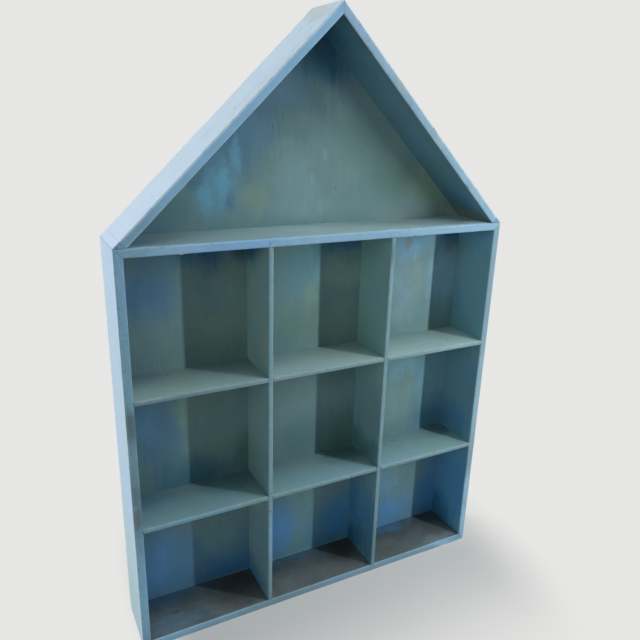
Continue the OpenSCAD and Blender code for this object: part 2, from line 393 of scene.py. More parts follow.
def sand(block):
    """Move each point inwards a little, by a noise shared by the whole shelf."""
    block.normal_update()
    shifts = []
    for vert in block.verts:
        swing = 0.5 + 0.5 * noise.noise(vert.co * WAVES_PER_METRE)
        shifts.append((vert, vert.normal * (UNEVEN * MM * min(max(swing, 0.0), 1.0))))
    for vert, shift in shifts:
        vert.co -= shift


def make_piece(block, name, node, outward):
    """Mark wear and faces, turn the block into an object, and let it stand for a CAD node."""
    edge_wear_and_highlight = block.verts.layers.float.new("wear")
    block.normal_update()
    for vert in block.verts:
        if any(face.material_index == ARRIS for face in vert.link_faces):
            vert[edge_wear_and_highlight] = 1.0 if vert.normal.dot(Vector(outward)) > LEANS_OUT else INNER_WEAR
    sand(block)
    block.normal_update()
    for face in block.faces:
        if face.material_index == ARRIS or face.normal.y < -FACES_END:
            face.material_index = FRONT
        elif face.normal.dot(Vector(outward)) > FACES_OUT or face.normal.y > FACES_END:
            face.material_index = OUTSIDE
        else:
            face.material_index = INSIDE
        face.smooth = True
    open_edges = sum(1 for edge in block.edges if not edge.is_manifold)
    volume = block.calc_volume() * CM3_IN_M3
    mesh = bpy.data.meshes.new(name)
    block.to_mesh(mesh)
    block.free()
    mesh.set_sharp_from_angle(angle=SHARP_ANGLE)
    piece = bpy.data.objects.new(name, mesh)
    scene.collection.objects.link(piece)
    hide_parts(node)
    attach(piece, "root")
    print(name, len(mesh.polygons), "faces,", round(volume, 1), "cm3,", open_edges, "open edges")
    return piece


pieces = {}
print("sanding waves:", round(1 / (WAVES_PER_METRE * MM)), "mm long and up to", UNEVEN, "mm deep")

# %% [markdown]
# The four boards of the box are mitred like a picture frame. The two lower outside corners are
# sanded to a 4 mm radius through the whole depth. That rounding is done first, while the board
# still has a square end, and the mitre then cuts the round in half, so the two boards share it. The
# attic board is drawn from above instead: the back panel passes behind it, so only its two ends
# reach the wall.

# %% The box
CORNER_R = 4.0
CORNER_SEGMENTS = 6
ARRIS_R = 1.0
DEPTH_STRIP = 9.0
DEPTH_CUTS = [-26.0, -21.0] + steps(-21.0, PANEL_Y, DEPTH_STRIP)


def round_corner(block, x):
    """Round the lower outside corner of the box at this x."""
    corner = [edge for edge in block.edges
              if all(abs(vert.co.x - x * MM) < NEAR and abs(vert.co.z) < NEAR
                     for vert in edge.verts)]
    ease(block, corner, CORNER_R, CORNER_SEGMENTS)
    for face in block.faces:
        face.material_index = INSIDE


for side, name in ((-1, "left_side"), (1, "right_side")):
    outer, inner, rim = side * HALF_W, side * (HALF_W - BOARD_T), side * (HALF_W - RIM_W)
    section = [(outer, FRONT_Y), (inner, FRONT_Y), (inner, PANEL_Y),
               (rim, PANEL_Y), (rim, WALL_Y), (outer, WALL_Y)]
    block = solid([(x, y, 0.0) for x, y in section], (0, 0, BOX_H + LEFT_LONG))
    round_corner(block, outer)
    ease(block, front_edges(block, shortest=0.5), ARRIS_R)
    saw(block, (outer, 0, BOX_H), (-side, 0, 1))
    saw(block, (outer, 0, 0), (-side, 0, -1))
    slices(block, (0, 0, 1), steps(BOARD_T, BOX_H - BOARD_T))
    slices(block, (0, 1, 0), DEPTH_CUTS)
    slices(block, (1, 0, 0), [side * (HALF_W - depth) for depth in LAYERS])
    pieces[name] = make_piece(block, name + "_board", name, (side, 0, 0))

block = solid([(-HALF_W, y, z) for y, z in SECTION], (2 * HALF_W, 0, 0))
round_corner(block, -HALF_W)
round_corner(block, HALF_W)
ease(block, front_edges(block, shortest=0.5), ARRIS_R)
for side in (-1, 1):
    saw(block, (side * HALF_W, 0, 0), (side, 0, 1))
slices(block, (1, 0, 0), steps(-HALF_W + BOARD_T, HALF_W - BOARD_T))
slices(block, (0, 1, 0), DEPTH_CUTS)
slices(block, (0, 0, 1), LAYERS)
pieces["base_board"] = make_piece(block, "base_plank", "base_board", (0, 0, -1))

top = BOX_H - BOARD_T
rim = HALF_W - RIM_W
plan = [(-HALF_W - LEFT_LONG, FRONT_Y), (HALF_W + LEFT_LONG, FRONT_Y),
        (HALF_W + LEFT_LONG, WALL_Y), (rim, WALL_Y), (rim, PANEL_Y),
        (-rim, PANEL_Y), (-rim, WALL_Y), (-HALF_W - LEFT_LONG, WALL_Y)]
block = solid([(x, y, top) for x, y in plan], (0, 0, BOARD_T))
ease(block, front_edges(block), ARRIS_R)
for side in (-1, 1):
    saw(block, (side * HALF_W, 0, BOX_H), (side, 0, -1))
slices(block, (1, 0, 0), steps(-HALF_W + BOARD_T, HALF_W - BOARD_T))
slices(block, (0, 1, 0), DEPTH_CUTS)
slices(block, (0, 0, 1), [top + depth for depth in LAYERS])
pieces["attic_board"] = make_piece(block, "attic_plank", "attic_board", (0, 0, 1))

# %% [markdown]
# A roof board is the same section laid on a slope. Its foot is square to its faces and stands on
# the attic board, and the two boards meet in a plumb mitre at the ridge. The section is drawn in
# the slope's own directions, along and out from the roof, so no angle is worked out twice.

# %% The roof
ROOF_PITCH = math.atan2(RIDGE_Z - BOX_H, HALF_W)
FOOT = BOARD_T / math.tan(ROOF_PITCH)
SLOPE_L = HALF_W / math.cos(ROOF_PITCH)
RIDGE_HAIRLINE = 0.07

for side, name in ((-1, "left_roof_board"), (1, "right_roof_board")):
    up_slope = Vector((-side * math.cos(ROOF_PITCH), 0.0, math.sin(ROOF_PITCH)))
    out_of_roof = Vector((side * math.sin(ROOF_PITCH), 0.0, math.cos(ROOF_PITCH)))
    foot = Vector((side * HALF_W, 0.0, BOX_H)) + up_slope * FOOT
    corners = [foot - out_of_roof * sunk + Vector((0.0, y, 0.0)) for y, sunk in SECTION]
    block = solid(corners, up_slope * (SLOPE_L - FOOT + BOARD_T))
    ease(block, front_edges(block), ARRIS_R)
    saw(block, (0, 0, 0), (-side, 0, 0), RIDGE_HAIRLINE)
    start = up_slope.dot(foot)
    slices(block, up_slope, steps(start, start + SLOPE_L - FOOT - BOARD_T))
    slices(block, (0, 1, 0), DEPTH_CUTS)
    level = out_of_roof.dot(foot)
    slices(block, out_of_roof, [level - depth for depth in LAYERS])
    pieces[name] = make_piece(block, name + "_plank", name, out_of_roof)

    wedge = name.replace("roof_board", "eave_fillet")
    low = Vector((side * HALF_W, 0.0, BOX_H)) - up_slope * BOARD_T
    corners = [low - out_of_roof * sunk + Vector((0.0, y, 0.0)) for y, sunk in SECTION]
    block = solid(corners, up_slope * (FOOT + BOARD_T))
    ease(block, front_edges(block, shortest=10.0), ARRIS_R)
    saw(block, (0, 0, BOX_H), (0, 0, -1))
    slices(block, (0, 1, 0), DEPTH_CUTS)
    pieces[wedge] = make_piece(block, wedge + "_filler", wedge, out_of_roof)

# %% [markdown]
# The dividers and the shelves lap through each other like the cells of a bottle crate: a divider is
# notched from behind, a shelf from the front, each to the middle. Their outlines with the notches
# are simple enough to draw as one flat face, which is then given the board's thickness.

# %% The partitions
PARTITION_T = 4.5
PARTITION_ARRIS_R = 0.75
DIVIDER_X = 64.75
SHELF_Z = {"lower_shelf": 135.75, "upper_shelf": 265.75}
NOTCH_GAP = 0.15
HALF_NOTCH = PARTITION_T / 2 + NOTCH_GAP
LAP_Y = -1.5
HALF_LAP = 0.075
PARTITION_CUTS = [-26.5, -21.0, -12.0, 8.0, 17.0]

for side, name in ((-1, "left_divider"), (1, "right_divider")):
    x = side * DIVIDER_X - PARTITION_T / 2
    outline = [(FRONT_Y, BOARD_T), (PANEL_Y, BOARD_T)]
    for z in sorted(SHELF_Z.values()):
        outline += [(PANEL_Y, z - HALF_NOTCH), (LAP_Y - HALF_LAP, z - HALF_NOTCH),
                    (LAP_Y - HALF_LAP, z + HALF_NOTCH), (PANEL_Y, z + HALF_NOTCH)]
    outline += [(PANEL_Y, BOX_H - BOARD_T), (FRONT_Y, BOX_H - BOARD_T)]
    block = solid([(x, y, z) for y, z in outline], (PARTITION_T, 0, 0))
    ease(block, front_edges(block), PARTITION_ARRIS_R)
    slices(block, (0, 0, 1), steps(BOARD_T, BOX_H - BOARD_T))
    slices(block, (0, 1, 0), PARTITION_CUTS)
    slices(block, (1, 0, 0), [x + PARTITION_T / 2])
    pieces[name] = make_piece(block, name + "_board", name, (1, 0, 0))

for name, z in SHELF_Z.items():
    low = z - PARTITION_T / 2
    inner = HALF_W - BOARD_T
    outline = [(inner, PANEL_Y), (-inner, PANEL_Y), (-inner, FRONT_Y)]
    for x in (-DIVIDER_X, DIVIDER_X):
        outline += [(x - HALF_NOTCH, FRONT_Y), (x - HALF_NOTCH, LAP_Y + HALF_LAP),
                    (x + HALF_NOTCH, LAP_Y + HALF_LAP), (x + HALF_NOTCH, FRONT_Y)]
    outline.append((inner, FRONT_Y))
    block = solid([(x, y, low) for x, y in outline], (0, 0, PARTITION_T))
    ease(block, front_edges(block), PARTITION_ARRIS_R)
    slices(block, (1, 0, 0), steps(-inner, inner))
    slices(block, (0, 1, 0), PARTITION_CUTS)
    slices(block, (0, 0, 1), [z])
    pieces[name] = make_piece(block, name + "_board", name, (0, 0, 1))

# %% [markdown]
# The paint is the character of this shelf: a chalky grey-green ground, brushed over thinly with blues
# that gather in places and are rubbed away in others. One function mixes all of its versions, from
# small parts: lay the ground and a wash, drag the brush, stain, tint the coat from one end to the
# other, mark it, and rub down the edges. Some of the stains, tints, marks and pale edges are painted
# light and shade. Everything reads Object coordinates. As each piece's origin is the shelf's own,
# places are given in its millimetres.

# %% Brush and stain helpers
STROKE_ACROSS = 420.0
STROKE_ALONG = 48.0
ALONG_X = (STROKE_ALONG, STROKE_ACROSS, STROKE_ACROSS)
ALONG_Z = (STROKE_ACROSS, STROKE_ACROSS, STROKE_ALONG)
PULL = (0.034, 0.034, 0.046)
WANDER = 0.03
HEART = 0.2
SWIRLS_PER_METRE = 26.0
FRAY = 0.5


def drawn_out(tree, place, brush, turn, coarse=1.0):
    """Coordinates in which plain noise becomes brush strokes; coarse makes them wider and longer."""
    turned = put(tree, "ShaderNodeMapping", {"Vector": place, "Rotation": (0.0, turn, 0.0)})[0]
    scale = [value / coarse for value in brush]
    return put(tree, "ShaderNodeMapping", {"Vector": turned, "Scale": scale})[0]


def oval(tree, place, centre, half_sizes, ragged=0.0):
    """A soft oval: 1 at its heart and 0 beyond its half sizes, in millimetres."""
    offset = vectors(tree, "SUBTRACT", place, Vector(centre) * MM)
    shrunk = vectors(tree, "MULTIPLY", offset, [1.0 / (size * MM) for size in half_sizes])
    reach = put(tree, "ShaderNodeVectorMath", {0: shrunk}, operation="LENGTH")["Value"]
    return levels(tree, maths(tree, "ADD", reach, ragged), 1.0, HEART)


def stained_and_shaded(tree, colour, place, broad, clouds, stains_and_shade):
    """Lay soft stains and patches of painted light and shade over a colour. Slow noise pulls their
    borders about, and strokes fray them.
    """
    swirl = put(tree, "ShaderNodeTexNoise", {"Vector": place, "Scale": SWIRLS_PER_METRE,
                                             "Detail": 5.0, "Roughness": 0.62})["Color"]
    pull = vectors(tree, "MULTIPLY", vectors(tree, "SUBTRACT", swirl, (0.5, 0.5, 0.5)), PULL)
    pulled = vectors(tree, "ADD", place, pull)
    ragged = maths(tree, "MULTIPLY", centred(tree, broad), FRAY)
    uneven = maths(tree, "MULTIPLY_ADD", clouds, 0.8, 0.6)
    for patch_colour, centre, half_sizes, strength in stains_and_shade:
        mask = oval(tree, pulled, centre, half_sizes, ragged)
        laid = maths(tree, "MULTIPLY", maths(tree, "MULTIPLY", mask, uneven), strength, clamp=True)
        colour = blend(tree, laid, colour, patch_colour)
    return colour


def faded(tree, colour, place, drift, fades):
    """Tint the coat from one place to another along an axis, in millimetres."""
    axes = put(tree, "ShaderNodeSeparateXYZ", {0: place})
    aside = maths(tree, "MULTIPLY", centred(tree, drift), WANDER)
    for axis, start, stop, at_start, at_stop in fades:
        wandering = maths(tree, "ADD", axes[axis], aside)
        tone = blend(tree, levels(tree, wandering, start * MM, stop * MM), at_start, at_stop)
        colour = blend(tree, 1.0, colour, tone, mode="MULTIPLY")
    return colour


def marked(tree, colour, place, marks):
    """Small crisp marks with broken edges: knocks, drips, scuffs, lines of paint, and near-black
    keyholes that are partly painted shade.
    """
    ragged = levels(tree, cloud(tree, place, 900.0, detail=2.0), 0.25, 0.5)
    for mark, centre, half_sizes, strength in marks:
        mask = maths(tree, "MULTIPLY", oval(tree, place, centre, half_sizes), strength)
        colour = blend(tree, maths(tree, "MULTIPLY", mask, ragged), colour, mark)
    return colour


print("brush strokes:", round(1 / (STROKE_ACROSS * MM), 1), "mm wide")

# %% [markdown]
# The coat is built up in layers, as it was on the board. A thin wash gathers over the ground. Fine
# strokes tint the surface and stand up in the relief, and they show most where a slow noise lets them,
# as a half-dry brush leaves streaks in some places and none in others. Where the brush was nearly
# empty it has left short chalky strokes. Edges are rubbed pale, and on the roof boards and the outer
# faces that pale edge is also a painted highlight; here and there a chip of paint is missing. A reader
# could put all of it in one long tree, but a function for each layer keeps the order of work in sight.

# %% The layers of the coat
CHALKY_TINT = (1.45, 1.36, 1.28)
CHIPPED = (0.06, 0.085, 0.09)
ATTIC_LEVEL = BOX_H - BOARD_T / 2
PANEL_MIDDLE_Y = (PANEL_Y + WALL_Y) / 2
BORDER = 0.5


def washed(tree, ground, wash, broad, drift):
    """Lay a thin wash over the ground, gathered into soft patches."""
    gathered = maths(tree, "MULTIPLY_ADD", broad, 0.3, maths(tree, "MULTIPLY", drift, 0.7))
    return blend(tree, levels(tree, gathered, 0.42, 0.60), ground, wash)


def stained_and_shaded_panel(tree, colour, place, broad, clouds, grid, gable):
    """Stains and painted shade that end behind the attic board, and none on the panel's rear face."""
    axes = put(tree, "ShaderNodeSeparateXYZ", {0: place})
    over_attic = levels(tree, axes["Z"], (ATTIC_LEVEL - BORDER) * MM, (ATTIC_LEVEL + BORDER) * MM)
    rear, front = (PANEL_MIDDLE_Y + BORDER) * MM, (PANEL_MIDDLE_Y - BORDER) * MM
    below = stained_and_shaded(tree, colour, place, broad, clouds, grid)
    above = stained_and_shaded(tree, colour, place, broad, clouds, gable)
    both = blend(tree, over_attic, below, above)
    return blend(tree, levels(tree, axes["Y"], rear, front), colour, both)


def streaked(tree, colour, place, fine, clouds, grain, streak, mottle):
    """Lighten and darken the coat by its strokes, clouds and grain."""
    half_dry = levels(tree, cloud(tree, place, 24.0, detail=2.0), 0.42, 0.68)
    streaks = maths(tree, "MULTIPLY", centred(tree, fine), half_dry)
    shade = maths(tree, "MULTIPLY_ADD", streaks, 5.0 * streak, 1.0)
    shade = maths(tree, "MULTIPLY_ADD", centred(tree, clouds), 2.0 * mottle, shade)
    shade = maths(tree, "MULTIPLY_ADD", centred(tree, grain), mottle, shade)
    return blend(tree, 1.0, colour, shade, mode="MULTIPLY")


def chalked(tree, colour, place, strokes, chalk):
    """Short pale strokes, in the patches where the brush was nearly empty."""
    short = levels(tree, cloud(tree, strokes, 1.0, detail=2.0, bend=1.5), 0.52, 0.68)
    empty = levels(tree, cloud(tree, place, 33.0, detail=3.0), 0.52, 0.66)
    chalky = maths(tree, "MULTIPLY", short, maths(tree, "MULTIPLY", empty, chalk))
    return blend(tree, chalky, colour, blend(tree, 1.0, colour, CHALKY_TINT, mode="MULTIPLY"))


def rubbed_and_highlighted(tree, colour, place, edge_wear_and_highlight, wear_and_highlight_at, chips):
    """Rub the eased edges pale in patches, which on some boards is also a painted highlight, and chip
    a little paint off them.
    """
    eased = put(tree, "ShaderNodeAttribute", attribute_name="wear")["Fac"]
    patchy = levels(tree, cloud(tree, place, 110.0, detail=5.0, rough=0.65), 0.20, 0.56)
    patchy = maths(tree, "MULTIPLY", patchy, wear_and_highlight_at)
    thin = maths(tree, "MULTIPLY", levels(tree, eased, 0.3, 1.0), patchy)
    chip = levels(tree, cloud(tree, place, 330.0, detail=2.0), 0.62, 0.68)
    chip = maths(tree, "MULTIPLY", chip, levels(tree, eased, 0.1, 0.5))
    colour = blend(tree, thin, colour, edge_wear_and_highlight)
    return blend(tree, maths(tree, "MULTIPLY", chip, chips), colour, CHIPPED)


# %% [markdown]
# One call of `paint` mixes a whole material. The ground, the wash and the direction of the brush are
# always given. The rest has a usual value, and is only named where a board differs.

# %% The coat
COAT_DEPTH = 0.0005
DRIFTS, CLOUDS, GRAINS = 17.0, 55.0, 260.0


def paint(name, ground, wash, brush, turn=0.0, streak=0.07, mottle=0.10, chalk=0.3, fades=(),
          stains_and_shade=(), gable_stains_and_shade=(), marks=(), edge_wear_and_highlight=(0.36, 0.49, 0.58), wear_and_highlight_at=0.25, chips=0.3):
    """Brushed chalk paint. Colours are linear, the brush is a direction, and turn tilts it.

    Streak and mottle say how far strokes and blotches swing. Chalk, the share of rubbed edges and
    chips say how much of each shows, and on some boards the rubbed edge colour is also a painted
    highlight. A fade is an axis, its two ends in millimetres, and the tint at each end.
    """
    material, tree = new_material(name)
    place = put(tree, "ShaderNodeTexCoord")["Object"]
    fine = cloud(tree, drawn_out(tree, place, brush, turn), 1.0, detail=3.0, rough=0.6)
    broad = cloud(tree, drawn_out(tree, place, brush, turn, 3.0), 1.0, detail=3.0, bend=0.6)
    drift = cloud(tree, place, DRIFTS, detail=4.0, rough=0.5, bend=0.4)
    clouds = cloud(tree, place, CLOUDS, detail=5.0, rough=0.6)
    grain = cloud(tree, place, GRAINS, detail=4.0, rough=0.6)

    colour = washed(tree, ground, wash, broad, drift)
    if gable_stains_and_shade:
        colour = stained_and_shaded_panel(tree, colour, place, broad, clouds, stains_and_shade, gable_stains_and_shade)
    elif stains_and_shade:
        colour = stained_and_shaded(tree, colour, place, broad, clouds, stains_and_shade)
    colour = streaked(tree, colour, place, fine, clouds, grain, streak, mottle)
    colour = faded(tree, colour, place, drift, fades)
    colour = chalked(tree, colour, place, drawn_out(tree, place, brush, turn, 1.5), chalk)
    if marks:
        colour = marked(tree, colour, place, marks)
    colour = rubbed_and_highlighted(tree, colour, place, edge_wear_and_highlight, wear_and_highlight_at, chips)

    gloss = maths(tree, "MULTIPLY_ADD", fine, 0.16, 0.60)
    relief = maths(tree, "MULTIPLY_ADD", grain, 0.4, maths(tree, "MULTIPLY", fine, 0.6))
    shader = join_shader(tree, colour, gloss, relief, COAT_DEPTH)
    shader.inputs["Specular IOR Level"].default_value = 0.2
    return material


# %% [markdown]
# The colours that are used again and again have names. The stains are listed one by one: denim clouds
# with bright strokes on the left of the gable, night blue under the ridge that is deepened there as
# painted shade, deep blue painted shade right under the attic board, cornflower in the lowest
# compartments, olive where the ground shows through, and darker blue and moss patches that partly
# paint the partitions' shadows in the lower rows. Each entry of a list is one patch: its colour, the
# place across and up, half its width and height, and how strongly it covers.

# %% The back panel's paint
POWDER = (0.20, 0.34, 0.39)
CORNFLOWER = (0.12, 0.285, 0.46)
TEAL = (0.135, 0.33, 0.45)
SKY = (0.20, 0.38, 0.50)
DENIM = (0.095, 0.21, 0.31)
INK = (0.05, 0.185, 0.34)
NIGHT = (0.04, 0.14, 0.23)
SAGE = (0.18, 0.33, 0.33)
OLIVE = (0.23, 0.34, 0.26)
MOSS = (0.085, 0.18, 0.165)
SLATE = (0.12, 0.23, 0.26)
RUST = (0.20, 0.22, 0.17)
DARK = (0.04, 0.05, 0.055)
# Used only as painted shade right under the attic board.
SHADE_UNDER_ATTIC = (0.012, 0.11, 0.25)
BRIGHT = (0.15, 0.38, 0.53)
BROWNED = (0.21, 0.26, 0.205)
STAIN_AND_SHADE_DEPTH = 60
KEYHOLE_X, KEYHOLE_FOOT_Z = 129.5, 380

gable_stains_and_shade = [
    (MOSS, 88, 438, 58, 44, 0.55), (BROWNED, 128, 404, 60, 14, 0.6),
    ((0.30, 0.33, 0.26), 180, 406, 26, 16, 0.9), (DENIM, -86, 476, 60, 48, 1.0),
    (DENIM, -56, 508, 48, 40, 1.0), ((0.10, 0.235, 0.37), -172, 404, 44, 16, 0.9),
    (TEAL, -96, 440, 34, 40, 0.9), (BRIGHT, -104, 434, 10, 22, 1.0), (BRIGHT, -90, 446, 8, 24, 1.0),
    (BRIGHT, -76, 464, 8, 22, 0.8), (DENIM, -84, 426, 8, 18, 0.8), (DENIM, -116, 452, 12, 20, 0.9),
    (SLATE, -142, 420, 34, 22, 0.8), (OLIVE, -58, 428, 28, 24, 0.5), (POWDER, -12, 446, 34, 36, 0.6),
    (POWDER, -6, 418, 50, 18, 0.5), (OLIVE, 96, 470, 30, 40, 0.25), (OLIVE, 150, 434, 50, 36, 0.8),
    ((0.12, 0.225, 0.22), 34, 478, 70, 44, 0.6), (SLATE, 70, 420, 50, 24, 0.3),
    # These four darken the panel towards the apex: dark paint, deepened there as painted shade under
    # the ridge.
    ((0.095, 0.175, 0.19), -8, 504, 56, 30, 0.8), ((0.07, 0.135, 0.165), -22, 524, 50, 30, 0.9),
    (DENIM, -24, 540, 40, 40, 0.8), (NIGHT, 10, 560, 60, 42, 0.95), (SLATE, 120, 410, 40, 20, 0.4),
]
# Besides the paint's own stains, this list paints shade: under the attic board in the upper row, and
# over the partitions' shadows low in the other rows.
grid_stains_and_shade = [
    # Upper row, left; the deep blue and near-black patches at the top are painted shade under the
    # attic board
    ((0.085, 0.205, 0.335), -166, 345, 40, 36, 1.0), (DENIM, -150, 376, 60, 24, 0.7),
    (OLIVE, -94, 300, 50, 60, 0.45), (DENIM, -100, 338, 24, 24, 0.35),
    ((0.20, 0.32, 0.28), -84, 352, 24, 24, 0.5), (SHADE_UNDER_ATTIC, -106, 396, 52, 42, 1.0),
    ((0.04, 0.10, 0.11), -72, 394, 22, 36, 0.85), (RUST, -114, 370, 10, 8, 0.3),
    # Upper row, middle; the deep blue patch at the top is painted shade under the attic board
    (MOSS, -2, 296, 50, 34, 0.3), ((0.11, 0.28, 0.33), -8, 360, 50, 44, 0.7),
    (OLIVE, 38, 288, 36, 34, 0.5), ((0.22, 0.36, 0.33), 40, 348, 36, 34, 0.7),
    (OLIVE, 2, 320, 12, 44, 0.35), (SHADE_UNDER_ATTIC, 38, 397, 48, 40, 1.0),
    # Upper row, right; the deep blue patch at the top is painted shade under the attic board
    ((0.19, 0.40, 0.60), 130, 380, 56, 36, 0.7), (POWDER, 116, 322, 40, 56, 0.6),
    (RUST, 122, 378, 8, 14, 0.5), (SKY, 176, 330, 36, 50, 0.8), (OLIVE, 138, 332, 10, 50, 0.3),
    (SHADE_UNDER_ATTIC, 184, 396, 34, 34, 1.0),
    # Middle row, left; the two dark patches low down are partly painted shadow of the partition
    (DENIM, -160, 200, 40, 84, 0.95), ((0.12, 0.28, 0.42), -178, 226, 24, 44, 0.8),
    (OLIVE, -134, 224, 12, 44, 0.35), ((0.04, 0.155, 0.235), -128, 146, 60, 32, 0.7),
    ((0.065, 0.155, 0.125), -70, 160, 22, 44, 0.8),
    # Middle row, middle; the two dark patches low down are partly painted shadow of the partition
    ((0.10, 0.20, 0.22), 2, 160, 60, 46, 0.8), (MOSS, 50, 160, 40, 50, 0.8),
    (MOSS, 44, 240, 40, 30, 0.5),
    # Middle row, right; INK low on the right is partly painted shadow of the side
    ((0.19, 0.41, 0.50), 116, 232, 44, 36, 0.8), (SAGE, 112, 180, 42, 44, 0.7),
    (OLIVE, 138, 210, 10, 50, 0.3), (TEAL, 172, 210, 44, 50, 0.6), (INK, 172, 156, 40, 40, 0.7),
    # Lowest row, left; INK low down and the dark strip by the divider are partly painted shadow of the
    # partition
    (CORNFLOWER, -174, 50, 54, 90, 0.9), (DENIM, -140, 40, 30, 70, 0.7), (INK, -90, 14, 60, 40, 0.8),
    ((0.03, 0.12, 0.20), -68, 40, 20, 50, 0.35), (RUST, -128, 30, 8, 16, 0.3),
    # Lowest row, middle; the deep blue patch on the right is partly painted shadow of the partition
    (CORNFLOWER, -34, 50, 34, 60, 1.0), (SAGE, 4, 96, 30, 44, 0.5),
    ((0.055, 0.20, 0.355), 46, 36, 50, 60, 0.9),
    # Lowest row, right; INK on the right is partly painted shadow of the side
    (SKY, 104, 92, 44, 50, 0.7), (CORNFLOWER, 116, 24, 50, 40, 0.8), (OLIVE, 132, 90, 10, 34, 0.3),
    (INK, 186, 30, 40, 90, 0.8),
]
panel_marks = [
    (DARK, (-40, PANEL_Y, 494), (1.0, 2.5, 4), 0.5), (DARK, (29, PANEL_Y, 436), (1.2, 2.5, 4), 0.5),
    ((0.26, 0.38, 0.40), (16, PANEL_Y, 468), (3, 2.5, 9), 0.5),
    ((0.24, 0.37, 0.40), (2, PANEL_Y, 446), (2.5, 2.5, 9), 0.4),
    (SKY, (0, PANEL_Y, 8.6), (192, 2.5, 1.5), 0.9),
    # The keyholes' walls and a thin ring round them are near black: bare cut board, and painted shade
    # where light would shine through.
    (DARK, (-KEYHOLE_X, PANEL_MIDDLE_Y, KEYHOLE_FOOT_Z), (5, 2, 2), 1.0),
    (DARK, (KEYHOLE_X, PANEL_MIDDLE_Y, KEYHOLE_FOOT_Z), (5, 2, 2), 1.0),
]


def on_panel(stains_and_shade):
    """Stains and painted shade on the back panel, each with its colour, place, half sizes and
    strength.
    """
    return [(colour, (x, PANEL_Y, z), (half_x, STAIN_AND_SHADE_DEPTH, half_z), strength)
            for colour, x, z, half_x, half_z, strength in stains_and_shade]


def grey(value):
    """A neutral tint: 1 leaves a colour as it is."""
    return (value, value, value)


panel_paint = paint(
    "panel_paint", (0.16, 0.275, 0.27), (0.15, 0.265, 0.29), ALONG_Z, chalk=0.3,
    # The first fade darkens the panel towards the apex: dark paint, deepened there as painted shade
    # under the ridge.
    fades=[("Z", 505, 580, grey(1.0), grey(0.78)), ("X", -190, 190, grey(0.95), grey(1.10)),
           ("Z", 110, 30, grey(1.0), (0.88, 1.06, 1.25))],
    stains_and_shade=on_panel(grid_stains_and_shade), gable_stains_and_shade=on_panel(gable_stains_and_shade), marks=panel_marks)
print("stains on the back panel:", len(gable_stains_and_shade) + len(grid_stains_and_shade))

# %% [markdown]
# Inside the compartments the uprights are greener at the top and blue towards the floor, and they are
# painted paler towards the back: painted light that brightens the far corners. The level boards are a
# dusty grey-green, paler towards the right. The base is different: its paint is almost gone, down to a
# brown-grey with bluish scuffs.

# %% Paint inside
UPRIGHT_FACES = {"left_divider": -DIVIDER_X - PARTITION_T / 2,
                 "right_divider": DIVIDER_X - PARTITION_T / 2,
                 "right_side": HALF_W - BOARD_T}
LEVEL_FACES = {"upper_shelf": SHELF_Z["upper_shelf"] + PARTITION_T / 2,
               "lower_shelf": SHELF_Z["lower_shelf"] + PARTITION_T / 2,
               "attic_board": BOX_H, "base_board": BOARD_T}
FACE_DEPTH = 20


def on_upright(name, *stains_and_shade):
    """Stains, painted shade and painted light on an upright's left face: colour, depth, height, half
    sizes and strength.
    """
    return [(colour, (UPRIGHT_FACES[name], y, z), (FACE_DEPTH, half_y, half_z), strength)
            for colour, y, z, half_y, half_z, strength in stains_and_shade]


def on_level(name, *stains_and_shade):
    """Stains and painted shade on top of a level board: colour, place, half sizes and strength."""
    return [(colour, (x, y, LEVEL_FACES[name]), (half_x, half_y, FACE_DEPTH), strength)
            for colour, x, y, half_x, half_y, strength in stains_and_shade]


